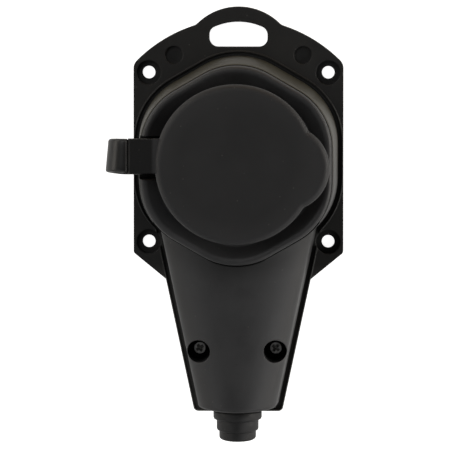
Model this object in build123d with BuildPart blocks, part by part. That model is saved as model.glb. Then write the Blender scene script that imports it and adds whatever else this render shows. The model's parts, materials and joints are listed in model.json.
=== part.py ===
from build123d import *
import os
from math import cos, radians, sqrt, tan

# A socket outlet in a rubber housing, for one earthed plug with two round pins. A plate with a hanger
# carries it on a wall, a splash lid closes its mouth, and the cable enters through a stepped grommet.
#
# Sizes are in millimetres. The origin is on the socket's axis, which is the middle of the four wall holes,
# and on the back face.
# +X is the side of the lid's finger tab, +Y the side of the hanger, +Z the way the socket faces.

# Plug
pin_pitch = 19.0
pin_length = 19.0
pin_hole_diameter = 5.2
recess_diameter = 39.8
recess_depth = 17.5

# Mounting plate
plate_thickness = 4.0
plate_top_radius = 51.1
plate_top_drop = 2.0
plate_corner_radius = 4.0
ear_margin = 3.9
ear_slope = 39.3
ear_corner_radius = 1.5
hole_edge = 5.4
hole_pitch_y = 60.0
hole_diameter = 4.5
hole_sink_diameter = 8.7
hole_sink_depth = 2.8
dimple_pitch = 45.6
dimple_inset = 6.6
dimple_diameter = 6.4
dimple_depth = 1.6

# Hanger
hanger_radius = 20.9
hanger_rise = 4.2
hanger_root_radius = 3.0
hanger_slot_width = 20.6
hanger_slot_height = 8.9
hanger_bridge = 5.3
hanger_slot_corner = 3.1

# Hexagonal body of the cover
cover_wall = 2.8
body_sits_low = 0.9
body_apothem = 35.3
body_corner_radius = 24.5
body_draft = 2.5
deck_corner_radius = 23.9
deck_thickness = 3.0
rim_width = 0.5
rim_edge_radius = 1.2
seat_gap = 1.25
lip_wall = 0.55
lip_height = 1.6
lip_edge_radius = 0.22
plate_margin = 0.05

# Tapered cable part of the cover
neck_end_y = -87.4
neck_end_bulge = 1.65
neck_end_width = 28.7
neck_slope = 12.1
neck_end_height = 26.5
neck_step = 0.9
neck_root_groove = 0.65
neck_crown_rise = 9.0
neck_side_draft = 3.0
neck_end_rounding = 1.5
tray_end_room = 0.95

# Cover screws and their wells
cover_screw_pitch = 26.9
cover_screw_y = -67.1
well_diameter = 8.1
well_wall = 1.6
well_floor_z = 9.0
well_floor_thickness = 2.5
cover_screw_head = 4.5
cover_screw_diameter = 3.0
cover_screw_length = 8.0
boss_wall = 2.2

# Socket insert and contact carrier
insert_floor = 4.5
insert_wall = 2.5
insert_fit = 0.3
guide_rib_width = 5.0
guide_rib_depth = 1.8
guide_rib_drop = 4.5
earth_window_rim = 2.0
carrier_pad_height = 0.8
carrier_pad_diameter = 9.0
carrier_floor = 1.2
carrier_inset = 0.5
pin_tip_room = 0.5
insert_screw_head = 6.4
insert_screw_diameter = 3.4
insert_screw_length = 14.0
carrier_screw_head = 5.0
carrier_screw_diameter = 2.9
carrier_screw_length = 6.0
carrier_screw_inset = 5.8
carrier_screw_seat = 3.0
head_room = 0.6

# Contacts
sleeve_wall = 0.9
sleeve_slit = 1.2
terminal_width = 7.4
terminal_length = 8.0
terminal_height = 8.0
terminal_offset = 8.5
terminal_screw_head = 5.6
terminal_screw_diameter = 3.5
terminal_screw_length = 6.5
wire_hole_diameter = 3.4
pocket_room = 0.25
earth_strip_width = 8.0
earth_strip_thickness = 1.0
earth_bend_radius = 1.0
earth_block_height = 6.0
earth_clip_reach = 1.8
earth_clip_drop = 4.7
earth_clip_height = 6.5
earth_tip_rise = 1.4

# Collar, lid and strap
collar_height = 9.5
collar_seat_depth = 1.2
collar_seat_gap = 0.12
collar_crest_height = 5.2
collar_crest_width = 2.1
collar_crest_radius = 1.2
collar_moat_depth = 3.0
collar_moat_slope = 55
collar_moat_radius = 2.0
collar_ring_wall = 3.2
collar_ring_stand = 0.5
collar_edge_radius = 0.6
collar_sleeve_wall = 1.3
collar_bead = 0.7
collar_bead_height = 1.2
lid_overhang = 2.2
lid_thickness = 4.0
lid_edge_radius = 2.2
lid_tab_radius = 15.0
lid_tab_reach = 32.8
lid_tab_drop = 1.2
lid_tab_thickness = 2.6
lid_seat_inset = 0.5
lid_tab_root_radius = 1.2
seal_lip_height = 3.0
seal_lip_wall = 1.8
seal_lip_room = 0.6
strap_width = 12.1
strap_thickness = 3.0
strap_y = 3.0
strap_edge_radius = 1.0
strap_skew = 1.1
hinge_reach = 37.6
hinge_gap = 0.3
hinge_groove = 0.45
strap_notch_room = 0.4
strap_notch_spare = 2.7
strap_peg_diameter = 3.4
strap_peg_barb = 0.25
strap_peg_tip = 1.2

# Cable entry
grommet_z = 15.0
cable_hole_diameter = 8.6
grommet_step_diameters = (17.1, 14.8, 13.0)
grommet_step_lengths = (2.8, 3.95, 3.75)
grommet_groove_diameter = 14.6
grommet_flange_diameter = 17.0
grommet_flange_thickness = 2.2
grommet_chamfer = 0.7
grommet_end_radius = 1.6
clamp_from_end = 10.5
clamp_length = 6.5
clamp_width = 22.4
clamp_flange = 2.5
clamp_arch = 1.8
clamp_room = 0.6
clamp_screw_pitch = 17.4
clamp_screw_head = 4.8
clamp_screw_diameter = 2.9
clamp_screw_length = 11.0

# Fits and screw heads
fit = 0.15
screw_tip_room = 0.4
screw_head_height = 2.2
cross_recess_width = 0.75
cross_recess_depth = 1.2
cross_recess_share = 0.6
cross_recess_turns = (45, 135)

# Heights, stacked from the back face to the top of the lid
carrier_bottom_z = plate_thickness + carrier_pad_height
carrier_floor_z = carrier_bottom_z + carrier_floor
carrier_top_z = carrier_floor_z + pin_tip_room + pin_length - insert_floor
recess_floor_z = carrier_top_z + insert_floor
insert_rim_z = recess_floor_z + recess_depth
ring_top_z = insert_rim_z + collar_ring_stand
deck_z = ring_top_z - collar_height
deck_underside_z = deck_z - deck_thickness
collar_seat_z = deck_z - collar_seat_depth
collar_crest_z = deck_z + collar_crest_height
bead_top_z = deck_underside_z - fit
lid_top_z = ring_top_z + lid_thickness
strap_top_z = ring_top_z + strap_thickness
boss_top_z = well_floor_z - well_floor_thickness
earth_strip_top_z = carrier_top_z - fit
earth_strip_z = earth_strip_top_z - earth_strip_thickness
terminal_top_z = carrier_top_z - head_room - screw_head_height
terminal_bottom_z = terminal_top_z - terminal_height
carrier_screw_z = carrier_bottom_z + carrier_screw_seat
insert_screw_z = recess_floor_z - screw_head_height - fit
clamp_top_z = grommet_z + clamp_flange

# Radii and apothems about the socket's axis
recess_radius = recess_diameter / 2
insert_radius = recess_radius + insert_wall
carrier_radius = insert_radius - carrier_inset
collar_bore_radius = insert_radius + insert_fit
collar_ring_radius = collar_bore_radius + collar_ring_wall
collar_sleeve_radius = collar_bore_radius + collar_sleeve_wall
deck_opening_radius = collar_sleeve_radius + fit
lid_radius = collar_ring_radius + lid_overhang
seal_lip_radius = recess_radius - seal_lip_room
sleeve_bore_radius = pin_hole_diameter / 2
sleeve_radius = sleeve_bore_radius + sleeve_wall
cable_radius = cable_hole_diameter / 2
deck_apothem = body_apothem - (deck_z - plate_thickness) * tan(radians(body_draft))
collar_apothem = deck_apothem - rim_width - collar_seat_gap
collar_corner_radius = deck_corner_radius - rim_width - collar_seat_gap
neck_end_radius = neck_end_width**2 / (8 * neck_end_bulge) + neck_end_bulge / 2
body_corner_reach = (body_apothem - body_corner_radius) / cos(radians(30)) + body_corner_radius
body_middle_y = -body_sits_low

# Places in plan
plate_width = 2 * (body_apothem + seat_gap + lip_wall + plate_margin)
hole_pitch_x = plate_width - 2 * hole_edge
ear_drop = hole_pitch_y / 2 + ear_margin
dimple_y = sqrt((plate_top_radius - dimple_inset)**2 - dimple_pitch**2 / 4) - plate_top_drop
hanger_top_y = plate_top_radius - plate_top_drop + hanger_rise
hanger_slot_top_y = hanger_top_y - hanger_bridge
ear_inner_x = hole_pitch_x / 2 - hole_sink_diameter
neck_root_y = body_middle_y - body_apothem / 2
neck_meets_body_y = body_middle_y - body_corner_reach
neck_tip_y = neck_end_y - neck_end_bulge
tray_end_y = neck_end_y - tray_end_room
hinge_x = -hinge_reach
strap_foot_x = -(collar_ring_radius + strap_notch_room)
strap_peg_x = strap_foot_x - strap_peg_diameter / 2
clamp_y = neck_end_y + clamp_from_end
terminal_y = -terminal_offset
carrier_screw_y = sqrt((carrier_radius - carrier_screw_inset)**2 - pin_pitch**2 / 4)
axis_place = [(0, 0)]
sides = (-1, 1)
dimple_places = [(side * dimple_pitch / 2, dimple_y) for side in sides]
cover_screw_places = [(side * cover_screw_pitch / 2, cover_screw_y) for side in sides]
clamp_screw_places = [(side * clamp_screw_pitch / 2, clamp_y) for side in sides]
pin_places = [(side * pin_pitch / 2, 0) for side in sides]
terminal_places = [(side * pin_pitch / 2, terminal_y) for side in sides]
earth_terminal_place = [(0, terminal_y)]
carrier_screw_places = [(side * pin_pitch / 2, carrier_screw_y) for side in sides]
carrier_rest_places = [(side * pin_pitch / 2, -carrier_screw_y) for side in sides]

RISING = (Align.CENTER, Align.CENTER, Align.MIN)
HANGING = (Align.CENTER, Align.CENTER, Align.MAX)


def neck_half_width(at_y):
    """Half the cable part's width at its foot."""
    return neck_end_width / 2 + (at_y - neck_end_y) * tan(radians(neck_slope))


def neck_crown_z(at_y):
    """Height of the cable part's crown, which rises towards the body and meets it a step below its deck."""
    rise = (deck_z - neck_step - neck_end_height) / (neck_meets_body_y - neck_end_y)
    return neck_end_height + (at_y - neck_end_y) * rise


def neck_section(at_y, inset):
    """The cable part cut across: straight sides under a crown that is half an ellipse."""
    shoulder_z = neck_crown_z(at_y) - neck_crown_rise
    foot = neck_half_width(at_y) - inset
    shoulder = foot - (shoulder_z - plate_thickness) * tan(radians(neck_side_draft))
    with BuildSketch() as section:
        with BuildLine():
            Line((-foot, plate_thickness), (foot, plate_thickness))
            Line((foot, plate_thickness), (shoulder, shoulder_z))
            EllipticalCenterArc((0, shoulder_z), shoulder, neck_crown_rise - inset, start_angle=0, arc_size=180)
            Line((-shoulder, shoulder_z), (-foot, plate_thickness))
        make_face()
    return section.sketch


def hexagon(apothem, corner_radius):
    """A rounded hexagon about the body's middle, with a flat to each side."""
    with BuildSketch() as outline:
        with Locations((0, body_middle_y)):
            RegularPolygon(apothem, 6, major_radius=False, rotation=30)
        fillet(outline.vertices(), corner_radius)
    return outline.sketch


def stand(places, bottom_z, top_z, diameter):
    """Round posts from one height to another."""
    for x, y in places:
        with Locations((x, y, bottom_z)):
            Cylinder(diameter / 2, top_z - bottom_z, align=RISING)


def drill(places, bottom_z, top_z, diameter):
    """Round holes from one height to another."""
    for x, y in places:
        with Locations((x, y, bottom_z)):
            Cylinder(diameter / 2, top_z - bottom_z, align=RISING, mode=Mode.SUBTRACT)


def screws(places, seat_z, head, diameter, length):
    """Cross-recess screws with their heads on a seat, pointing down."""
    stand(places, seat_z, seat_z + screw_head_height, head)
    stand(places, seat_z - length, seat_z, diameter)
    for x, y in places:
        with Locations((x, y, seat_z + screw_head_height)):
            for turn in cross_recess_turns:
                Box(head * cross_recess_share, cross_recess_width, cross_recess_depth, rotation=(0, 0, turn),
                    align=HANGING, mode=Mode.SUBTRACT)


# Outlines that the plate and the cover share
foot_hexagon = hexagon(body_apothem, body_corner_radius)
deck_hexagon = hexagon(deck_apothem, deck_corner_radius)
seat_hexagon = hexagon(deck_apothem - rim_width, deck_corner_radius - rim_width)
collar_hexagon = hexagon(collar_apothem, collar_corner_radius)
moat_hexagon = hexagon(collar_apothem - collar_crest_width, collar_corner_radius - collar_crest_width)
inner_foot_hexagon = hexagon(body_apothem - cover_wall, body_corner_radius - cover_wall)
inner_deck_hexagon = hexagon(deck_apothem - cover_wall, deck_corner_radius - cover_wall)

with BuildSketch() as tray_floor:
    add(foot_hexagon)
    with BuildLine():
        Polyline(
            (-neck_half_width(body_middle_y), body_middle_y),
            (-neck_half_width(tray_end_y), tray_end_y),
            (neck_half_width(tray_end_y), tray_end_y),
            (neck_half_width(body_middle_y), body_middle_y),
            close=True,
        )
    make_face()

with BuildSketch() as lip_outline:
    offset(tray_floor.sketch, amount=seat_gap + lip_wall, mode=Mode.ADD)
    Rectangle(plate_width, 4 * plate_top_radius, mode=Mode.INTERSECT)

with BuildSketch() as lip_inside:
    offset(tray_floor.sketch, amount=seat_gap, mode=Mode.ADD)

with BuildSketch() as beyond_neck_end:
    with Locations((0, neck_end_y)):
        Rectangle(2 * neck_end_width, 4 * neck_end_bulge)
    with Locations((0, neck_tip_y + neck_end_radius)):
        Circle(neck_end_radius, mode=Mode.SUBTRACT)

with BuildSketch() as root_groove:
    with Locations((0, neck_root_y)):
        Rectangle(2 * neck_half_width(neck_root_y), body_apothem, align=(Align.CENTER, Align.MAX))
    offset(seat_hexagon, amount=neck_root_groove, mode=Mode.INTERSECT)

with BuildSketch() as strap_notch:
    with Locations((-collar_bore_radius, strap_y + strap_width / 2 + strap_notch_room)):
        Rectangle(body_apothem, strap_notch_room + strap_width + strap_notch_spare,
                  align=(Align.MAX, Align.MAX))

with BuildSketch() as hanger_slot:
    with Locations((0, hanger_slot_top_y - hanger_radius)):
        Circle(hanger_radius)
    with Locations((0, hanger_slot_top_y)):
        Rectangle(hanger_slot_width, 2 * hanger_slot_height, mode=Mode.INTERSECT)
    fillet(hanger_slot.vertices(), hanger_slot_corner)

with BuildSketch() as plate_plan:
    with Locations((0, -plate_top_drop)):
        Circle(plate_top_radius)
    with BuildLine():
        ear_inner_y = -ear_drop - (plate_width / 2 - ear_inner_x) * tan(radians(ear_slope))
        Polyline(
            (plate_width / 2, plate_top_radius),
            (plate_width / 2, -ear_drop),
            (ear_inner_x, ear_inner_y),
            (-ear_inner_x, ear_inner_y),
            (-plate_width / 2, -ear_drop),
            (-plate_width / 2, plate_top_radius),
            close=True,
        )
    make_face(mode=Mode.INTERSECT)
    fillet(plate_plan.vertices().group_by(Axis.Y)[-1], plate_corner_radius)
    fillet(plate_plan.vertices().group_by(Axis.Y)[1], ear_corner_radius)
    with Locations((0, hanger_top_y - hanger_radius)):
        Circle(hanger_radius)
    fillet(plate_plan.vertices().group_by(Axis.Y)[-1], hanger_root_radius)
    add(lip_outline.sketch)
    add(hanger_slot.sketch, mode=Mode.SUBTRACT)

os.makedirs("parts", exist_ok=True)

# Back plate: wall plate with the hanger, the lip round the cover's foot, and the posts inside
with BuildPart() as back_plate:
    add(plate_plan.sketch)
    extrude(amount=plate_thickness)
    with BuildSketch(Plane.XY.offset(plate_thickness)):
        add(lip_outline.sketch)
        add(lip_inside.sketch, mode=Mode.SUBTRACT)
    extrude(amount=lip_height)
    fillet(back_plate.faces().sort_by(Axis.Z)[-1].edges(), lip_edge_radius)
    stand(cover_screw_places, plate_thickness, boss_top_z, cover_screw_diameter + 2 * boss_wall)
    stand(clamp_screw_places, plate_thickness, grommet_z, clamp_screw_diameter + 2 * boss_wall)
    stand(carrier_screw_places + carrier_rest_places, plate_thickness, carrier_bottom_z, carrier_pad_diameter)
    with Locations((0, clamp_y, plate_thickness)):
        Box(clamp_screw_pitch, clamp_length / 2, grommet_z - cable_radius - clamp_room - plate_thickness,
            align=RISING)
    with Locations((0, 0, plate_thickness)):
        with GridLocations(hole_pitch_x, hole_pitch_y, 2, 2):
            CounterBoreHole(hole_diameter / 2, hole_sink_diameter / 2, hole_sink_depth)
    drill(dimple_places, plate_thickness - dimple_depth, plate_thickness, dimple_diameter)
    drill(cover_screw_places, well_floor_z - cover_screw_length - screw_tip_room, boss_top_z,
          cover_screw_diameter + 2 * fit)
    drill(clamp_screw_places, clamp_top_z - clamp_screw_length - screw_tip_room, grommet_z,
          clamp_screw_diameter + 2 * fit)
    drill(carrier_screw_places, carrier_screw_z - carrier_screw_length - screw_tip_room, carrier_bottom_z,
          carrier_screw_diameter + 2 * fit)
back_plate.part.label = "back_plate"
export_step(back_plate.part, "parts/back_plate.step")

# Room inside the cover, less the tubes of the two screw wells
with BuildPart() as cover_room:
    with BuildSketch(Plane.XY.offset(plate_thickness)):
        add(inner_foot_hexagon)
    with BuildSketch(Plane.XY.offset(deck_underside_z)):
        add(inner_deck_hexagon)
    loft()
    with BuildSketch(Plane.XZ.offset(-neck_root_y)):
        add(neck_section(neck_root_y, cover_wall))
    with BuildSketch(Plane.XZ.offset(-neck_end_y - cover_wall)):
        add(neck_section(neck_end_y + cover_wall, cover_wall))
    loft()
    with Locations((0, 0, deck_underside_z)):
        Box(4 * body_apothem, 4 * body_apothem, deck_z, align=RISING, mode=Mode.SUBTRACT)
    drill(cover_screw_places, boss_top_z, deck_z, well_diameter + 2 * well_wall)

# Front cover: the hexagonal body and the cable part as one shell, with the screw wells
with BuildPart() as front_cover:
    with BuildSketch(Plane.XY.offset(plate_thickness)):
        add(foot_hexagon)
    with BuildSketch(Plane.XY.offset(deck_z)):
        add(deck_hexagon)
    loft()
    fillet(front_cover.faces().sort_by(Axis.Z)[-1].edges(), rim_edge_radius)
    with BuildSketch(Plane.XZ.offset(-neck_root_y)):
        add(neck_section(neck_root_y, 0))
    with BuildSketch(Plane.XZ.offset(-neck_tip_y)):
        add(neck_section(neck_tip_y, 0))
    loft()
    add(beyond_neck_end.sketch)
    extrude(amount=deck_z, mode=Mode.SUBTRACT)
    end_edges = front_cover.faces().sort_by(Axis.Y)[0].edges().sort_by(Axis.Z)[1:]
    fillet(end_edges, neck_end_rounding)
    add(cover_room.part, mode=Mode.SUBTRACT)
    with BuildSketch(Plane.XY.offset(collar_seat_z)):
        add(seat_hexagon)
        add(strap_notch.sketch)
        add(root_groove.sketch)
    extrude(amount=collar_crest_height, mode=Mode.SUBTRACT)
    drill(axis_place, deck_underside_z, deck_z, 2 * deck_opening_radius)
    drill([(strap_peg_x, strap_y)], deck_underside_z, deck_z, strap_peg_diameter + 2 * fit)
    drill(cover_screw_places, well_floor_z, deck_z, well_diameter)
    drill(cover_screw_places, boss_top_z, well_floor_z, cover_screw_diameter + 2 * fit)
    drill(cover_screw_places, plate_thickness, boss_top_z, cover_screw_diameter + 2 * boss_wall + 2 * fit)
    with Locations(Location((0, neck_end_y, grommet_z), (90, 0, 0))):
        Cylinder(grommet_groove_diameter / 2 + fit, 4 * cover_wall, mode=Mode.SUBTRACT)
front_cover.part.label = "front_cover"
export_step(front_cover.part, "parts/front_cover.step")

# Cover screws, at the bottom of their wells
with BuildPart() as cover_screws:
    screws(cover_screw_places, well_floor_z, cover_screw_head, cover_screw_diameter, cover_screw_length)
cover_screws.part.label = "cover_screws"
export_step(cover_screws.part, "parts/cover_screws.step")

# Collar: rubber bezel seated in the deck, with a crest, a moat, a ring that the lid shuts on, and a beaded
# sleeve under the deck
with BuildPart() as lid_collar:
    with BuildSketch(Plane.XY.offset(collar_seat_z)):
        add(collar_hexagon)
    extrude(amount=collar_seat_depth + collar_crest_height)
    fillet(lid_collar.faces().sort_by(Axis.Z)[-1].edges(), collar_crest_radius)
    with BuildSketch(Plane.XY.offset(collar_crest_z)):
        add(moat_hexagon)
    extrude(amount=-collar_moat_depth, taper=collar_moat_slope, mode=Mode.SUBTRACT)
    crest_face = lid_collar.faces().filter_by(Axis.Z).sort_by(Axis.Z)[-1]
    fillet(crest_face.inner_wires()[0].edges(), collar_moat_radius)
    with BuildSketch(Plane.XY.offset(collar_seat_z)):
        add(strap_notch.sketch)
    extrude(amount=collar_seat_depth + collar_crest_height, mode=Mode.SUBTRACT)
    stand(axis_place, collar_seat_z, ring_top_z, 2 * collar_ring_radius)
    stand(axis_place, bead_top_z, collar_seat_z, 2 * collar_sleeve_radius)
    stand(axis_place, bead_top_z - collar_bead_height, bead_top_z, 2 * (collar_sleeve_radius + collar_bead))
    drill(axis_place, bead_top_z - collar_bead_height, ring_top_z, 2 * collar_bore_radius)
    fillet(lid_collar.faces().sort_by(Axis.Z)[-1].edges(), collar_edge_radius)
lid_collar.part.label = "lid_collar"
export_step(lid_collar.part, "parts/lid_collar.step")

# Lid: disc with a finger tab, a sealing lip in the recess, and the strap up to the film hinge
with BuildPart() as lid:
    stand(axis_place, ring_top_z, lid_top_z, 2 * (lid_radius - lid_seat_inset))
    with BuildSketch(Plane.XY.offset(lid_top_z)) as lid_face:
        Circle(lid_radius)
        with Locations((lid_tab_reach - lid_tab_radius, -lid_tab_drop)):
            Circle(lid_tab_radius)
        fillet(lid_face.vertices(), lid_tab_root_radius)
    extrude(amount=-lid_tab_thickness)
    fillet(lid.faces().sort_by(Axis.Z)[-1].edges(), lid_edge_radius)
    with BuildSketch(Plane.XZ.offset(-strap_y)):
        with BuildLine():
            hinge_end_x = hinge_x + hinge_gap / 2
            strap_root_x = strap_thickness - lid_radius
            Polyline(
                (hinge_end_x, ring_top_z),
                (strap_root_x, ring_top_z),
                (strap_root_x, strap_top_z),
                (hinge_end_x + hinge_groove, strap_top_z),
                (hinge_end_x, strap_top_z - hinge_groove),
                close=True,
            )
        make_face()
    extrude(amount=strap_width / 2, both=True)
    with BuildSketch(Plane.XY.offset(ring_top_z)):
        Circle(seal_lip_radius)
        Circle(seal_lip_radius - seal_lip_wall, mode=Mode.SUBTRACT)
    extrude(amount=-seal_lip_height)
lid.part.label = "lid"
export_step(lid.part, "parts/lid.step")

# Strap: from the film hinge round a loop and back into the collar's notch, pegged to the deck
with BuildPart() as lid_strap:
    for side in sides:
        with BuildSketch(Plane.XZ.offset(-strap_y - side * strap_width / 2)):
            with BuildLine():
                hinge_end_x = hinge_x - hinge_gap / 2
                loop_x = hinge_end_x - hinge_groove
                loop_end_x = loop_x - (strap_top_z - collar_seat_z) / 2 + side * strap_skew / 2
                loop_z = (strap_top_z + collar_seat_z) / 2
                foot_top_z = collar_seat_z + strap_thickness
                Line((hinge_end_x, strap_top_z - hinge_groove), (loop_x, strap_top_z))
                ThreePointArc((loop_x, strap_top_z), (loop_end_x, loop_z), (loop_x, collar_seat_z))
                Line((loop_x, collar_seat_z), (strap_foot_x, collar_seat_z))
                Line((strap_foot_x, collar_seat_z), (strap_foot_x, foot_top_z))
                Line((strap_foot_x, foot_top_z), (loop_x, foot_top_z))
                ThreePointArc((loop_x, foot_top_z), (loop_end_x + strap_thickness, loop_z), (loop_x, ring_top_z))
                Line((loop_x, ring_top_z), (hinge_end_x, ring_top_z))
                Line((hinge_end_x, ring_top_z), (hinge_end_x, strap_top_z - hinge_groove))
            make_face()
    loft(ruled=True)
    loop_edges = lid_strap.faces().sort_by(Axis.X)[0].edges().sort_by(Axis.Y)
    fillet((loop_edges[0], loop_edges[-1]), strap_edge_radius)
    peg_place = [(strap_peg_x, strap_y)]
    stand(peg_place, bead_top_z - strap_peg_tip, collar_seat_z, strap_peg_diameter)
    stand(peg_place, bead_top_z - strap_peg_tip, bead_top_z, strap_peg_diameter + 2 * strap_peg_barb)
lid_strap.part.label = "lid_strap"
export_step(lid_strap.part, "parts/lid_strap.step")

# Socket insert: recess for the plug, with pin holes, guide ribs and a window for each earth clip
with BuildPart() as socket_insert:
    stand(axis_place, carrier_top_z, insert_rim_z, 2 * insert_radius)
    drill(axis_place, recess_floor_z, insert_rim_z, recess_diameter)
    with Locations((0, 0, recess_floor_z)):
        with PolarLocations(recess_radius - guide_rib_depth, 2):
            Box(guide_rib_depth + insert_wall / 2, guide_rib_width, recess_depth - guide_rib_drop,
                align=(Align.MIN, Align.CENTER, Align.MIN))
    with Locations((0, 0, carrier_top_z)):
        with PolarLocations(recess_radius - earth_clip_reach - earth_strip_thickness, 2, start_angle=90):
            Box(2 * insert_wall + earth_clip_reach + earth_strip_thickness,
                earth_strip_width + 4 * pocket_room, insert_rim_z - earth_window_rim - carrier_top_z,
                align=(Align.MIN, Align.CENTER, Align.MIN), mode=Mode.SUBTRACT)
    drill(pin_places, carrier_top_z, recess_floor_z, pin_hole_diameter)
    drill(axis_place, insert_screw_z, recess_floor_z, insert_screw_head + 2 * fit)
    drill(axis_place, carrier_top_z, insert_screw_z, insert_screw_diameter + 2 * fit)
    drill(earth_terminal_place, carrier_top_z, earth_strip_top_z + screw_head_height + head_room,
          terminal_screw_head + 2 * head_room)
socket_insert.part.label = "socket_insert"
export_step(socket_insert.part, "parts/socket_insert.step")

# Contact carrier: base under the insert, with a pocket for each contact and a groove for the earth strip
with BuildPart() as contact_carrier:
    stand(axis_place, carrier_bottom_z, carrier_top_z, 2 * carrier_radius)
    pocket_back_y = sleeve_radius + pocket_room
    pocket_front_y = terminal_y - terminal_length / 2 - pocket_room
    pocket_width = max(terminal_width, 2 * sleeve_radius) + 2 * pocket_room
    wire_z = terminal_bottom_z + wire_hole_diameter
    for side in sides:
        with Locations((side * pin_pitch / 2, pocket_front_y, carrier_floor_z)):
            Box(pocket_width, pocket_back_y - pocket_front_y, carrier_top_z - carrier_floor_z,
                align=(Align.CENTER, Align.MIN, Align.MIN), mode=Mode.SUBTRACT)
    with Locations((0, 0, carrier_top_z)):
        Box(earth_strip_width + 2 * pocket_room, 3 * carrier_radius, earth_strip_thickness + 2 * fit,
            align=HANGING, mode=Mode.SUBTRACT)
    with Locations((0, terminal_y, carrier_top_z)):
        Box(earth_strip_width + 2 * pocket_room, terminal_length + 2 * pocket_room,
            carrier_top_z - earth_strip_z + earth_block_height + pocket_room, align=HANGING, mode=Mode.SUBTRACT)
    for x, y in terminal_places + earth_terminal_place:
        with Locations(Location((x, y, wire_z), (90, 0, 0))):
            Cylinder(wire_hole_diameter / 2 + pocket_room, 2 * carrier_radius, align=RISING, mode=Mode.SUBTRACT)
    drill(axis_place, insert_screw_z - insert_screw_length - screw_tip_room, carrier_top_z,
          insert_screw_diameter + 2 * fit)
    drill(carrier_screw_places, carrier_screw_z, carrier_top_z, carrier_screw_head + 2 * head_room)
    drill(carrier_screw_places, carrier_bottom_z, carrier_screw_z, carrier_screw_diameter + 2 * fit)
contact_carrier.part.label = "contact_carrier"
export_step(contact_carrier.part, "parts/contact_carrier.step")

# Contacts: slit brass sleeves for the plug's pins, each with a pillar terminal
for contact_name, side in (("live_contact", -1), ("neutral_contact", 1)):
    pin_place = [(side * pin_pitch / 2, 0)]
    terminal_place = [(side * pin_pitch / 2, terminal_y)]
    with BuildPart() as contact:
        stand(pin_place, carrier_floor_z, carrier_top_z - fit, 2 * sleeve_radius)
        with Locations((side * pin_pitch / 2, terminal_y, terminal_bottom_z)):
            Box(terminal_width, terminal_length, terminal_height, align=RISING)
        with Locations((side * pin_pitch / 2, terminal_y, terminal_bottom_z)):
            Box(terminal_width / 2, terminal_offset, terminal_height, align=(Align.CENTER, Align.MIN, Align.MIN))
        drill(pin_place, carrier_floor_z, carrier_top_z, 2 * sleeve_bore_radius)
        with Locations((side * pin_pitch / 2, 0, carrier_floor_z)):
            Box(sleeve_slit, sleeve_radius, carrier_top_z, align=(Align.CENTER, Align.MIN, Align.MIN),
                mode=Mode.SUBTRACT)
        drill(terminal_place, terminal_top_z - terminal_screw_length - screw_tip_room, terminal_top_z,
              terminal_screw_diameter + 2 * fit)
        with Locations(Location((side * pin_pitch / 2, terminal_y, wire_z), (90, 0, 0))):
            Cylinder(wire_hole_diameter / 2, terminal_length, align=RISING, mode=Mode.SUBTRACT)
    contact.part.label = contact_name
    export_step(contact.part, f"parts/{contact_name}.step")

# Earth bracket: a strip across the carrier that rises at both sides of the recess into spring clips
with BuildPart() as earth_bracket:
    with BuildSketch(Plane.YZ):
        with BuildLine():
            arm_y = insert_radius - earth_strip_thickness
            clip_y = recess_radius - earth_clip_reach + earth_strip_thickness / 2
            clip_z = insert_rim_z - earth_clip_drop
            strip_z = earth_strip_z + earth_strip_thickness / 2
            half_profile = (
                (arm_y, strip_z),
                (arm_y, clip_z - earth_clip_height),
                (clip_y, clip_z),
                (clip_y + earth_tip_rise / 2, clip_z + earth_tip_rise),
            )
            FilletPolyline(
                *[(-y, z) for y, z in reversed(half_profile)],
                *half_profile,
                radius=earth_bend_radius,
            )
        trace(line_width=earth_strip_thickness)
    extrude(amount=earth_strip_width / 2, both=True)
    with Locations((0, terminal_y, earth_strip_z)):
        Box(earth_strip_width, terminal_length, earth_block_height, align=HANGING)
    drill(axis_place, earth_strip_z, earth_strip_top_z, insert_screw_diameter + 4 * fit)
    drill(earth_terminal_place, earth_strip_top_z - terminal_screw_length - screw_tip_room, earth_strip_top_z,
          terminal_screw_diameter + 2 * fit)
    with Locations(Location((0, terminal_y, wire_z), (90, 0, 0))):
        Cylinder(wire_hole_diameter / 2, terminal_length, align=RISING, mode=Mode.SUBTRACT)
earth_bracket.part.label = "earth_bracket"
export_step(earth_bracket.part, "parts/earth_bracket.step")

# Terminal screws of both contacts and the earth strip
with BuildPart() as terminal_screws:
    screws(terminal_places, terminal_top_z, terminal_screw_head, terminal_screw_diameter, terminal_screw_length)
    screws(earth_terminal_place, earth_strip_top_z, terminal_screw_head, terminal_screw_diameter,
           terminal_screw_length)
terminal_screws.part.label = "terminal_screws"
export_step(terminal_screws.part, "parts/terminal_screws.step")

# Screw that holds the insert on the carrier
with BuildPart() as insert_screw:
    screws(axis_place, insert_screw_z, insert_screw_head, insert_screw_diameter, insert_screw_length)
insert_screw.part.label = "insert_screw"
export_step(insert_screw.part, "parts/insert_screw.step")

# Screws that hold the carrier on the plate
with BuildPart() as carrier_screws:
    screws(carrier_screw_places, carrier_screw_z, carrier_screw_head, carrier_screw_diameter,
           carrier_screw_length)
carrier_screws.part.label = "carrier_screws"
export_step(carrier_screws.part, "parts/carrier_screws.step")

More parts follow.
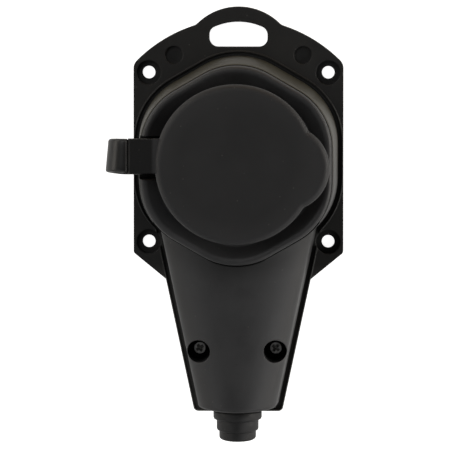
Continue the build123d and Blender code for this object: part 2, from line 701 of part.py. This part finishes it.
# Grommet: rubber sleeve in the end wall, with steps that narrow outwards
with BuildPart() as cable_grommet:
    wall_start = -neck_end_y - cover_wall - fit
    wall_end = -neck_tip_y + fit
    with BuildSketch(Plane(origin=(0, 0, grommet_z), x_dir=(0, -1, 0), z_dir=(-1, 0, 0))) as grommet_profile:
        with BuildLine():
            points = [
                (wall_start - grommet_flange_thickness, cable_radius),
                (wall_start - grommet_flange_thickness, grommet_flange_diameter / 2),
                (wall_start, grommet_flange_diameter / 2),
                (wall_start, grommet_groove_diameter / 2),
                (wall_end, grommet_groove_diameter / 2),
            ]
            step_start = wall_end
            for diameter, length in zip(grommet_step_diameters, grommet_step_lengths):
                points.append((step_start, diameter / 2))
                points.append((step_start + length - grommet_chamfer, diameter / 2))
                step_start += length
            grommet_end = points[-1][0] + grommet_chamfer
            points[-1] = (grommet_end, points[-1][1])
            points.append((grommet_end, cable_radius))
            Polyline(*points, close=True)
        make_face()
        end_corner = grommet_profile.vertices().group_by(Axis.X)[-1].sort_by(Axis.Y)[-1]
        fillet(end_corner, grommet_end_radius)
    revolve(axis=Axis((0, 0, grommet_z), (0, 1, 0)))
cable_grommet.part.label = "cable_grommet"
export_step(cable_grommet.part, "parts/cable_grommet.step")

# Cable clamp: an arched bar across the cable, on the two posts of the plate
with BuildPart() as cable_clamp:
    with BuildSketch(Plane.XZ.offset(-clamp_y)):
        with Locations((0, grommet_z)):
            Circle(cable_radius + clamp_room + clamp_arch)
            Rectangle(clamp_width, 4 * cable_radius, align=(Align.CENTER, Align.MAX), mode=Mode.SUBTRACT)
            Rectangle(clamp_width, clamp_flange, align=(Align.CENTER, Align.MIN))
            Circle(cable_radius + clamp_room, mode=Mode.SUBTRACT)
    extrude(amount=clamp_length / 2, both=True)
    drill(clamp_screw_places, grommet_z, clamp_top_z, clamp_screw_diameter + 2 * fit)
cable_clamp.part.label = "cable_clamp"
export_step(cable_clamp.part, "parts/cable_clamp.step")

# Screws of the cable clamp
with BuildPart() as clamp_screws:
    screws(clamp_screw_places, clamp_top_z, clamp_screw_head, clamp_screw_diameter, clamp_screw_length)
clamp_screws.part.label = "clamp_screws"
export_step(clamp_screws.part, "parts/clamp_screws.step")
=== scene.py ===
import json
import math
from collections import namedtuple

import bmesh
import bpy
from mathutils import Matrix, Vector


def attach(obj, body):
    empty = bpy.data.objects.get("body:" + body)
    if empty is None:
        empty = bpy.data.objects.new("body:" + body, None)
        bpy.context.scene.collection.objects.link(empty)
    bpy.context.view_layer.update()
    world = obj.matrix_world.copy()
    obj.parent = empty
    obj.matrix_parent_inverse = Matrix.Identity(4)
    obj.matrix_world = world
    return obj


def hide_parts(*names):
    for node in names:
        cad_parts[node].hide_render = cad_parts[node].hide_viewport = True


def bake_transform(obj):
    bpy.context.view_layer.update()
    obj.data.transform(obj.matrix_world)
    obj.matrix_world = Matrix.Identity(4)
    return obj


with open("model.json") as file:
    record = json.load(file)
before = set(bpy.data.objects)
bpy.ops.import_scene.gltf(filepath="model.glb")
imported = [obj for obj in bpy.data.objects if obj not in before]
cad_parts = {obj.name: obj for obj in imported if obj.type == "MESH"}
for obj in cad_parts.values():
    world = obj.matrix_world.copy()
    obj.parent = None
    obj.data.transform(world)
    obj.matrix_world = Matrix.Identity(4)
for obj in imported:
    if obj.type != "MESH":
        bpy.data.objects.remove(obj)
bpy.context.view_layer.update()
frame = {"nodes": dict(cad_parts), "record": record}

MM = 0.001


def linear(hex_colour):
    """An sRGB hex colour as linear RGBA."""
    channels = [int(hex_colour[i:i + 2], 16) / 255 for i in (1, 3, 5)]
    return [c / 12.92 if c <= 0.04045 else ((c + 0.055) / 1.055) ** 2.4 for c in channels] + [1]


def node(tree, kind, settings=None, inputs=(), **links):
    """One shader node. settings sets its properties. Its inputs are set or fed by inputs, in the node's own
    order, and by links, by name with _ for a space."""
    made = tree.nodes.new(kind)
    for name, value in (settings or {}).items():
        setattr(made, name, value)
    fed = list(zip(made.inputs, inputs))
    fed += [(made.inputs[name.replace("_", " ")], value) for name, value in links.items()]
    for socket, value in fed:
        if isinstance(value, bpy.types.NodeSocket):
            tree.links.new(value, socket)
        else:
            socket.default_value = value
    return made


def new_material(name):
    material = bpy.data.materials.new(name)
    material.use_nodes = True
    material.node_tree.nodes.clear()
    return material, material.node_tree


# A mark fades in along X, along Y or out from the socket's axis, between two places in millimetres, or
# as the face turns up, between two shares of straight up. Most marks are painted light or painted shade.
# It may leave its own roughness.
Mark = namedtuple("Mark", "along start end colour strength roughness", defaults=[None])

SOFT_EDGE_MM = 0.5
GRIT_STRENGTH = 0.6
BLOOM_STARTS, BLOOM_FULL = 0.36, 0.68
DULL_STARTS, DULL_FULL = 0.3, 0.7
BARE_SMOOTHER, BLOOM_DULLER = 0.05, 0.07
# Dust specks: their spacing, and their edge and full middle as shares of it
SPECK_SPACING_MM = 4
SPECK_EDGE, SPECK_MIDDLE = 0.09, 0.04
SPECK_STRENGTH = 0.35
SPECK_COLOUR = "#4a4844"


def moulded_rubber(name, black, bloom, roughness, gloss, grit_mm, grit_depth_mm, patch_mm, marks=()):
    """A dark filled compound from a steel mould. The mould's blasted face leaves an even fine grit, wax
    blooms out in broad dull patches, and handling leaves pale dust specks. The marks add painted light, painted
    shade and tone. The real grit is nearer 0.1 mm, and is drawn coarser so that it shows."""
    material, tree = new_material(name)
    where = node(tree, "ShaderNodeTexCoord").outputs["Object"]
    grit = node(tree, "ShaderNodeTexNoise", Vector=where, Scale=1 / (grit_mm * MM), Detail=2)
    patches = node(tree, "ShaderNodeTexNoise", Vector=where, Scale=1 / (patch_mm * MM), Detail=5,
                   Roughness=0.62)
    bloomed = node(tree, "ShaderNodeMapRange", Value=patches.outputs["Fac"], From_Min=BLOOM_STARTS,
                   From_Max=BLOOM_FULL)
    face = node(tree, "ShaderNodeMixRGB", Fac=bloomed.outputs["Result"], Color1=linear(black),
                Color2=linear(bloom))
    dull = node(tree, "ShaderNodeMapRange", Value=patches.outputs["Fac"], From_Min=DULL_STARTS,
                From_Max=DULL_FULL, To_Min=roughness - BARE_SMOOTHER, To_Max=roughness + BLOOM_DULLER)

    flat = node(tree, "ShaderNodeMapping", Vector=where, Scale=(1, 1, 0))
    out = node(tree, "ShaderNodeVectorMath", {"operation": "LENGTH"}, Vector=flat.outputs["Vector"])
    across = node(tree, "ShaderNodeSeparateXYZ", Vector=where)
    geometry = node(tree, "ShaderNodeNewGeometry")
    facing = node(tree, "ShaderNodeSeparateXYZ", Vector=geometry.outputs["True Normal"])
    places = {"X": (across.outputs["X"], MM), "Y": (across.outputs["Y"], MM),
              "out": (out.outputs["Value"], MM), "up": (facing.outputs["Z"], 1)}
    for mark in marks:
        place, unit = places[mark.along]
        marked = node(tree, "ShaderNodeMapRange", Value=place, From_Min=mark.start * unit,
                    From_Max=mark.end * unit, To_Max=mark.strength)
        face = node(tree, "ShaderNodeMixRGB", Fac=marked.outputs["Result"], Color1=face.outputs["Color"],
                    Color2=linear(mark.colour))
        if mark.roughness:
            dull = node(tree, "ShaderNodeMapRange", Value=marked.outputs["Result"],
                        To_Min=dull.outputs["Result"], To_Max=mark.roughness)

    dust = node(tree, "ShaderNodeTexVoronoi", Vector=where, Scale=1 / (SPECK_SPACING_MM * MM))
    speck = node(tree, "ShaderNodeMapRange", Value=dust.outputs["Distance"], From_Min=SPECK_EDGE,
                 From_Max=SPECK_MIDDLE, To_Max=SPECK_STRENGTH)
    dusted = node(tree, "ShaderNodeMixRGB", Fac=speck.outputs["Result"], Color1=face.outputs["Color"],
                  Color2=linear(SPECK_COLOUR))
    edges = node(tree, "ShaderNodeBevel", {"samples": 6}, Radius=SOFT_EDGE_MM * MM)
    relief = node(tree, "ShaderNodeBump", Height=grit.outputs["Fac"], Strength=GRIT_STRENGTH,
                  Distance=grit_depth_mm * MM, Normal=edges.outputs["Normal"])
    shader = node(tree, "ShaderNodeBsdfPrincipled", Base_Color=dusted.outputs["Color"],
                  Roughness=dull.outputs["Result"], Normal=relief.outputs["Normal"], IOR=1.5,
                  Specular_IOR_Level=gloss)
    node(tree, "ShaderNodeOutputMaterial", Surface=shader.outputs["BSDF"])
    return material


LAY_SQUEEZE = 0.06
LAY_STRENGTH = 0.4
LAY_DEPTH_MM = 0.01
LAY_SMOOTHER, LAY_DULLER = 0.08, 0.1
TARNISH_STARTS, TARNISH_FULL = 0.4, 0.7


def plain_metal(name, colour, tarnish, roughness, lay_mm, patch_mm):
    """Metal from a press or lathe: fine lines along its lay, and a thin uneven film of tarnish. The real
    lines are nearer 0.03 mm apart, and are drawn coarser so that they show close up."""
    material, tree = new_material(name)
    where = node(tree, "ShaderNodeTexCoord").outputs["Object"]
    stretched = node(tree, "ShaderNodeMapping", Vector=where, Scale=(1, 1, LAY_SQUEEZE))
    lay = node(tree, "ShaderNodeTexNoise", Vector=stretched.outputs["Vector"], Scale=1 / (lay_mm * MM),
               Detail=2)
    film = node(tree, "ShaderNodeTexNoise", Vector=where, Scale=1 / (patch_mm * MM), Detail=4)
    filmed = node(tree, "ShaderNodeMapRange", Value=film.outputs["Fac"], From_Min=TARNISH_STARTS,
                  From_Max=TARNISH_FULL)
    face = node(tree, "ShaderNodeMixRGB", Fac=filmed.outputs["Result"], Color1=linear(colour),
                Color2=linear(tarnish))
    dull = node(tree, "ShaderNodeMapRange", Value=lay.outputs["Fac"], From_Min=DULL_STARTS,
                From_Max=DULL_FULL, To_Min=roughness - LAY_SMOOTHER, To_Max=roughness + LAY_DULLER)
    relief = node(tree, "ShaderNodeBump", Height=lay.outputs["Fac"], Strength=LAY_STRENGTH,
                  Distance=LAY_DEPTH_MM * MM)
    shader = node(tree, "ShaderNodeBsdfPrincipled", Base_Color=face.outputs["Color"], Metallic=1.0,
                  Roughness=dull.outputs["Result"], Normal=relief.outputs["Normal"])
    node(tree, "ShaderNodeOutputMaterial", Surface=shader.outputs["BSDF"])
    return material


def dress(material, *names):
    for name in names:
        materials = frame["nodes"][name].data.materials
        materials.clear()
        materials.append(material)


# Neoprene, moulded: satin grey-black with a soft sheen on its edges. The cover has painted shade that fades out
# across the taper's root, under the collar, and painted shade on flat ledges. It is paler and browner on the
# flank towards the hanger.
ROOT_PAINTED_SHADE = Mark("out", 44, 38, "#0a0a0a", 0.55)
HANGER_SIDE_BROWN = Mark("Y", -15, 25, "#57533f", 0.33)
LEDGE_PAINTED_SHADE = Mark("up", 0.995, 0.999, "#030303", 1, 0.95)
for name, dressed, marks in (("moulded_neoprene", "front_cover", [ROOT_PAINTED_SHADE, HANGER_SIDE_BROWN, LEDGE_PAINTED_SHADE]),
                             ("moulded_neoprene_collar", "lid_collar", [])):
    dress(moulded_rubber(name, "#252526", "#2c2c2d", roughness=0.5, gloss=0.5, grit_mm=0.35,
                         grit_depth_mm=0.03, patch_mm=16, marks=marks), dressed)

# Soft rubber, moulded: duller than the cover. The lid's rim is painted paler, a painted highlight, and the
# strap is painted blacker, a painted shade, and turns smooth where it bends.
RIM_PAINTED_HIGHLIGHT = Mark("out", 20, 28, "#2a2a2b", 0.5)
STRAP_PAINTED_SHADE_AND_SMOOTHING = Mark("X", -28.4, -29.4, "#121212", 1, 0.33)
soft_rubber = moulded_rubber("moulded_soft_rubber", "#171718", "#1c1c1d", roughness=0.56, gloss=0.4,
                             grit_mm=0.3, grit_depth_mm=0.02, patch_mm=22, marks=[RIM_PAINTED_HIGHLIGHT, STRAP_PAINTED_SHADE_AND_SMOOTHING])
dress(soft_rubber, "lid", "lid_strap")

# Soft rubber of the grommet, moulded: streakier, with a painted shadow on its first step, under the cover's end
FIRST_STEP_PAINTED_SHADOW = Mark("Y", -92.4, -91.2, "#0b0b0b", 0.6)
grommet_rubber = moulded_rubber("moulded_grommet_rubber", "#0f0f10", "#1d1d1e", roughness=0.55, gloss=0.4,
                                grit_mm=0.3, grit_depth_mm=0.03, patch_mm=6, marks=[FIRST_STEP_PAINTED_SHADOW])
dress(grommet_rubber, "cable_grommet")

# Hard rubber, moulded: darker than the cover, with a coarser face, and painted light that makes the tray along
# the taper paler
TRAY_PAINTED_LIGHT = Mark("Y", -38, -50, "#484745", 1)
dress(moulded_rubber("moulded_hard_rubber", "#121212", "#191918", roughness=0.55, gloss=0.35, grit_mm=0.45,
                     grit_depth_mm=0.04, patch_mm=12, marks=[TRAY_PAINTED_LIGHT]), "back_plate")

# Phenolic, moulded: hard, close and a little glossier than rubber
dress(moulded_rubber("moulded_phenolic", "#1c1b1a", "#262523", roughness=0.38, gloss=0.5, grit_mm=0.25,
                     grit_depth_mm=0.01, patch_mm=9), "socket_insert", "contact_carrier", "cable_clamp")

# Brass, stamped: yellow metal with lines from the press and brown tarnish
dress(plain_metal("stamped_brass", "#c9a253", "#8f6f38", roughness=0.3, lay_mm=0.12, patch_mm=5),
      "live_contact", "neutral_contact", "earth_bracket")

# Steel, zinc plated: pale grey with a soft shine and dull grey patches
zinc_steel = plain_metal("zinc_plated_steel", "#e6e6e4", "#c2c1bd", roughness=0.36, lay_mm=0.1, patch_mm=2.5)
dress(zinc_steel, "cover_screws", "terminal_screws", "insert_screw", "carrier_screws", "clamp_screws")

SHARP_ANGLE = math.radians(38)


def skin(name, rings_of, material, joined=False):
    """A closed skin over each run of rings, with points in millimetres. A joined run closes on itself, and
    any other is capped at both ends."""
    verts, faces = [], []
    for rings in rings_of:
        first, count = len(verts), len(rings[0])
        verts += [Vector(point) * MM for ring in rings for point in ring]
        for step in range(len(rings) if joined else len(rings) - 1):
            here, after = first + step * count, first + (step + 1) % len(rings) * count
            for i in range(count):
                j = (i + 1) % count
                faces.append((here + i, here + j, after + j, after + i))
        if not joined:
            last = first + (len(rings) - 1) * count
            faces += [tuple(range(first + count - 1, first - 1, -1)), tuple(range(last, last + count))]
    mesh = bpy.data.meshes.new(name)
    mesh.from_pydata(verts, [], faces)
    shape = bmesh.new()
    shape.from_mesh(mesh)
    bmesh.ops.recalc_face_normals(shape, faces=shape.faces)
    shape.to_mesh(mesh)
    shape.free()
    mesh.shade_smooth()
    mesh.set_sharp_from_angle(angle=SHARP_ANGLE)
    mesh.materials.append(material)
    piece = bpy.data.objects.new(name, mesh)
    bpy.context.scene.collection.objects.link(piece)
    return piece


def turned(count):
    return [2 * math.pi * i / count for i in range(count)]


def rounded_section(half_width, half_height, radius, corner_steps=5, flat_steps=6):
    """Points round a rounded rectangle, anticlockwise from the foot of its upper right corner."""
    points = []
    for quarter, (sx, sy) in enumerate(((1, 1), (-1, 1), (-1, -1), (1, -1))):
        corner = (sx * (half_width - radius), sy * (half_height - radius))
        for step in range(corner_steps + 1):
            angle = math.pi / 2 * (quarter + step / corner_steps)
            points.append((corner[0] + radius * math.cos(angle), corner[1] + radius * math.sin(angle)))
        if quarter in (0, 2):
            span = 2 * (half_width - radius)
            for step in range(1, flat_steps):
                points.append((sx * (half_width - radius - span * step / flat_steps), sy * half_height))
    return points


# Film hinge: the thin web of rubber at the bottom of the groove, which joins the lid's strap to its loop
hinge_x, hinge_y, hinge_z = [v / MM for v in frame["record"]["behaviour"]["joints"][0]["pos_m"]]
FILM_REACH = 1.1
FILM_STEPS = 16
FILM_WIDTH = 11.4
FILM_DROP = 1.0
FILM_WAIST = 0.22
FILM_FLARE = 0.2
film_z = hinge_z - FILM_DROP
film_rings = []
for step in range(FILM_STEPS + 1):
    across = 2 * step / FILM_STEPS - 1
    half = FILM_WAIST + FILM_FLARE * across * across
    film_rings.append([(hinge_x + FILM_REACH * across, hinge_y + y * FILM_WIDTH / 2, film_z + z * half)
                       for y, z in ((-1, -1), (1, -1), (1, 1), (-1, 1))])
film = skin("hinge_film", [film_rings], soft_rubber)
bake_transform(film)

# Strap loop: a soft band that curls over from the film hinge. Its foot leans a little to one side in the
# collar's notch, and a barbed peg under the foot holds it in the deck.
STRAP_HALF_WIDTH = 5.85
STRAP_Y = hinge_y + 0.15
STRAP_HALF_THICKNESS = 1.5
STRAP_EDGE = 0.9
STRAP_END_X = hinge_x - 0.15
STRAP_TOP_Z = 46.5
STRAP_FOOT_Z = 32.8
STRAP_FOOT_X = -26.3
STRAP_CHAMFER = 0.45
STRAP_LEAN = 1.45
STRAP_SKEW = 0.53
LOOP_STEPS = 36
FOOT_STEPS = 6
PEG_PLACE = (-28.0, 3.0)
PEG_PROFILE = ((1.2, 29.65), (1.95, 29.95), (1.95, 30.4), (1.7, 30.85), (1.7, 33.4))
PEG_SIDES = 32
loop_x = STRAP_END_X - STRAP_CHAMFER
loop_z = (STRAP_TOP_Z + STRAP_FOOT_Z) / 2
loop_radius = (STRAP_TOP_Z - STRAP_FOOT_Z) / 2 - STRAP_HALF_THICKNESS
band = rounded_section(STRAP_HALF_WIDTH, STRAP_HALF_THICKNESS, STRAP_EDGE)
# Each station is where the band's arc is centred and how far it has turned, from the hinge to the foot
stations = [(STRAP_END_X, 90), (loop_x, 90)]
stations += [(loop_x, 90 + 180 * step / LOOP_STEPS) for step in range(1, LOOP_STEPS + 1)]
stations += [(loop_x + (STRAP_FOOT_X - loop_x) * step / FOOT_STEPS, 270) for step in range(1, FOOT_STEPS + 1)]
strap_rings = []
for number, (along_x, degrees) in enumerate(stations):
    angle = math.radians(degrees)
    lean = STRAP_LEAN * ((1 - math.sin(angle)) / 2) ** 2
    ring = []
    for across, up in band:
        if number == 0:
            up = min(up, STRAP_HALF_THICKNESS - STRAP_CHAMFER)
        reach = loop_radius + up
        skew = STRAP_SKEW * across / STRAP_HALF_WIDTH * -math.cos(angle)
        ring.append((along_x + reach * math.cos(angle) + skew, STRAP_Y - lean + across,
                     loop_z + reach * math.sin(angle)))
    strap_rings.append(ring)
peg_x, peg_y = PEG_PLACE
peg_rings = [[(peg_x + radius * math.cos(t), peg_y + radius * math.sin(t), z) for t in turned(PEG_SIDES)]
             for radius, z in PEG_PROFILE]
strap = skin("strap_loop", [strap_rings, peg_rings], soft_rubber)
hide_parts("lid_strap")
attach(strap, "housing")

# Grommet: a stepped rubber sleeve, which has sagged a little at its free end. The profile runs along its
# outside, as distance from the socket's axis and radius, and comes back through the bore.
GROMMET_Z = 15.0
GROMMET_BORE = 4.3
GROMMET_INNER_END = 82.25
GROMMET_END = 98.9
GROMMET_OUTSIDE = ((GROMMET_INNER_END, 8.5), (84.45, 8.5), (84.45, 7.3), (89.2, 7.3), (89.2, 8.3),
                   (89.45, 8.55), (91.2, 8.55), (91.75, 8.3), (92.0, 7.55), (92.15, 7.4), (95.15, 7.4),
                   (95.6, 7.2), (95.85, 6.65), (96.0, 6.5), (98.08, 6.5), (98.53, 6.4), (98.8, 6.1),
                   (GROMMET_END, 5.5))
BORE_EDGE = 0.3
BORE_STEP = 1.65
BORE_STEPS = 9
GROMMET_SIDES = 96
SAGS_FROM = 89.2
SAG = math.radians(9)
SAG_LENGTH = 10
SAG_POWER = 0.7
SAG_STEP = 0.05


def sagged(along):
    """Where the grommet's middle is, as y and z, and its slope there."""
    if along <= SAGS_FROM:
        return -along, GROMMET_Z, 0
    y, z, slope, done = -SAGS_FROM, GROMMET_Z, 0, SAGS_FROM
    while done < along:
        step = min(SAG_STEP, along - done)
        done += step
        slope = SAG * ((done - SAGS_FROM) / SAG_LENGTH) ** SAG_POWER
        y -= step * math.cos(slope)
        z -= step * math.sin(slope)
    return y, z, slope


bore_end = GROMMET_END - BORE_EDGE
profile = list(GROMMET_OUTSIDE) + [(GROMMET_END, GROMMET_BORE + BORE_EDGE), (bore_end, GROMMET_BORE)]
profile += [(bore_end - BORE_STEP * step, GROMMET_BORE) for step in range(1, BORE_STEPS + 1)]
profile += [(GROMMET_INNER_END, GROMMET_BORE)]
grommet_rings = []
for along, radius in profile:
    y, z, slope = sagged(along)
    grommet_rings.append([(radius * math.cos(t), y - radius * math.sin(t) * math.sin(slope),
                           z + radius * math.sin(t) * math.cos(slope)) for t in turned(GROMMET_SIDES)])
grommet = skin("stepped_grommet", [grommet_rings], grommet_rubber, joined=True)
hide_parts("cable_grommet")
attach(grommet, "housing")

# Cover screws: pan heads with a tapered cross recess, at the bottom of the wells. Each has its place and turn.
SCREW_PLACES = ((-13.45, -67.1, 32), (13.45, -67.1, 50))
SCREW_SEAT_Z = 9.0
SCREW_SIDES = 96
HEAD_HEIGHT = 2.2
HEAD_RADIUS = 2.25
HEAD_ROUND = 0.35
HEAD_STEP = 0.05
HEAD_STEPS = 44
SHANK_PROFILE = ((0.7, -8.0), (1.5, -7.0), (1.5, 0), (2.2, 0), (2.25, 0.06))
CROSS_REACH = 1.45
CROSS_HALF_WIDTH = 0.4
CROSS_WALL = 0.1
CROSS_DEPTH = 2.0
CROSS_SLOPE = 1.5


def head_top(radius):
    """Height of the head without its recess: flat, with a rounded rim."""
    over = max(0, radius - (HEAD_RADIUS - HEAD_ROUND))
    return HEAD_HEIGHT - HEAD_ROUND + math.sqrt(max(0, HEAD_ROUND ** 2 - over ** 2))


def cross_depth(radius, angle):
    """How deep the cross recess is: steep walls along each arm, and a floor that slopes to the middle."""
    along, beside = abs(radius * math.cos(angle)), abs(radius * math.sin(angle))
    along, beside = max(along, beside), min(along, beside)
    wall = min(1, max(0, (CROSS_HALF_WIDTH + CROSS_WALL - beside) / CROSS_WALL))
    return wall * min(CROSS_DEPTH, max(0, CROSS_REACH - along) * CROSS_SLOPE)


head_radii = [HEAD_RADIUS - HEAD_STEP * step for step in range(HEAD_STEPS)]
screw_outline = [(radius, z, 0) for radius, z in SHANK_PROFILE]
screw_outline += [(radius, head_top(radius), 1) for radius in head_radii]
screw_runs = []
for x, y, turn in SCREW_PLACES:
    screw_runs.append([[(x + radius * math.cos(t), y + radius * math.sin(t),
                         SCREW_SEAT_Z + z - recessed * cross_depth(radius, t - math.radians(turn)))
                        for t in turned(SCREW_SIDES)] for radius, z, recessed in screw_outline])
screws = skin("pan_head_screws", screw_runs, zinc_steel)
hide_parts("cover_screws")
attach(screws, "housing")

# Floor: pale and plain. The camera and clear reflections see it as white paper, and it keeps the shadow.
FLOOR_SIZE = 6
FLOOR_DROP = 0.1 * MM
PAPER_GLOW = 0.93
PAPER_MIRRORED = 0.36
bpy.ops.mesh.primitive_plane_add(size=FLOOR_SIZE, location=(0, 0, -FLOOR_DROP))
floor = bpy.context.object
floor.name = "floor"
paper, tree = new_material("white_paper")
path = node(tree, "ShaderNodeLightPath")
mirrored = node(tree, "ShaderNodeMath", {"operation": "MAXIMUM"},
                (path.outputs["Is Glossy Ray"], path.outputs["Is Transmission Ray"]))
dimmed = node(tree, "ShaderNodeMath", {"operation": "MULTIPLY"}, (mirrored.outputs[0], PAPER_MIRRORED))
seen = node(tree, "ShaderNodeMath", {"operation": "MAXIMUM"},
            (path.outputs["Is Camera Ray"], dimmed.outputs[0]))
glow_level = node(tree, "ShaderNodeMath", {"operation": "MULTIPLY"}, (seen.outputs[0], PAPER_GLOW))
diffuse = node(tree, "ShaderNodeBsdfDiffuse", Color=linear("#e6e6e4"))
glow = node(tree, "ShaderNodeEmission", Strength=glow_level.outputs[0])
both = node(tree, "ShaderNodeAddShader", inputs=(diffuse.outputs[0], glow.outputs[0]))
node(tree, "ShaderNodeOutputMaterial", Surface=both.outputs[0])
floor.data.materials.append(paper)

# Studio: a dim room, low soft boxes at both sides, and weaker ones above
ROOM_LIGHT = 0.09
world = bpy.data.worlds.new("studio")
bpy.context.scene.world = world
world.use_nodes = True
room = world.node_tree.nodes["Background"]
room.inputs["Color"].default_value = (1, 1, 1, 1)
room.inputs["Strength"].default_value = ROOM_LIGHT

LIGHTS_AIM = Vector((0, -20, 20)) * MM
LIGHTS_DISTANCE = 1.1


def softbox(name, azimuth, elevation, size, radiance, colour):
    """A soft box on a dome about the socket. Azimuth 0 is the right of the picture and 90 its top."""
    light = bpy.data.lights.new(name, "AREA")
    light.shape = "RECTANGLE"
    light.color = linear(colour)[:3]
    light.size, light.size_y = size
    light.energy = radiance * math.pi * size[0] * size[1]
    lamp = bpy.data.objects.new(name, light)
    outward = Vector((1, 0, 0))
    outward.rotate(Matrix.Rotation(math.radians(-elevation), 4, "Y"))
    outward.rotate(Matrix.Rotation(math.radians(azimuth), 4, "Z"))
    lamp.location = LIGHTS_AIM + LIGHTS_DISTANCE * outward
    lamp.rotation_mode = "QUATERNION"
    lamp.rotation_quaternion = (-outward).to_track_quat("-Z", "Y")
    bpy.context.scene.collection.objects.link(lamp)


softbox("right_softbox", 5, 13, (0.95, 0.42), 6.0, "#fffaf3")
softbox("right_near_softbox", 315, 35, (0.8, 0.42), 2.7, "#ffffff")
softbox("far_softbox", 80, 12, (0.8, 0.42), 1.3, "#ffd39c")
softbox("left_softbox", 160, 18, (1.6, 0.42), 2.5, "#fff9f0")
softbox("left_near_softbox", 225, 36, (0.8, 0.42), 1.3, "#ffffff")
softbox("upper_softbox", 130, 58, (0.9, 0.45), 1.8, "#ffffff")

# Camera: almost straight down on the socket's face, from far off
CAMERA_DISTANCE = 2500 * MM
CAMERA_LENS = 563.3
CAMERA_SENSOR = 36
CAMERA_LOOKS_AT = Vector((-4.862, -24.372, 0)) * MM
CAMERA_TILT = math.radians(4.2)
CAMERA_SIDE_LEAN = math.radians(-1.55)
CAMERA_ROLL = math.radians(-0.107)
camera_turn = (Matrix.Rotation(-CAMERA_TILT, 4, "X") @ Matrix.Rotation(-CAMERA_SIDE_LEAN, 4, "Y")
               @ Matrix.Rotation(-CAMERA_ROLL, 4, "Z"))
lens = bpy.data.cameras.new("camera")
lens.lens = CAMERA_LENS
lens.sensor_width = CAMERA_SENSOR
camera = bpy.data.objects.new("camera", lens)
camera.matrix_world = (Matrix.Translation(CAMERA_LOOKS_AT) @ camera_turn
                       @ Matrix.Translation((0, 0, CAMERA_DISTANCE)))
bpy.context.scene.collection.objects.link(camera)
bpy.context.scene.camera = camera
bpy.context.scene.view_settings.view_transform = "Standard"
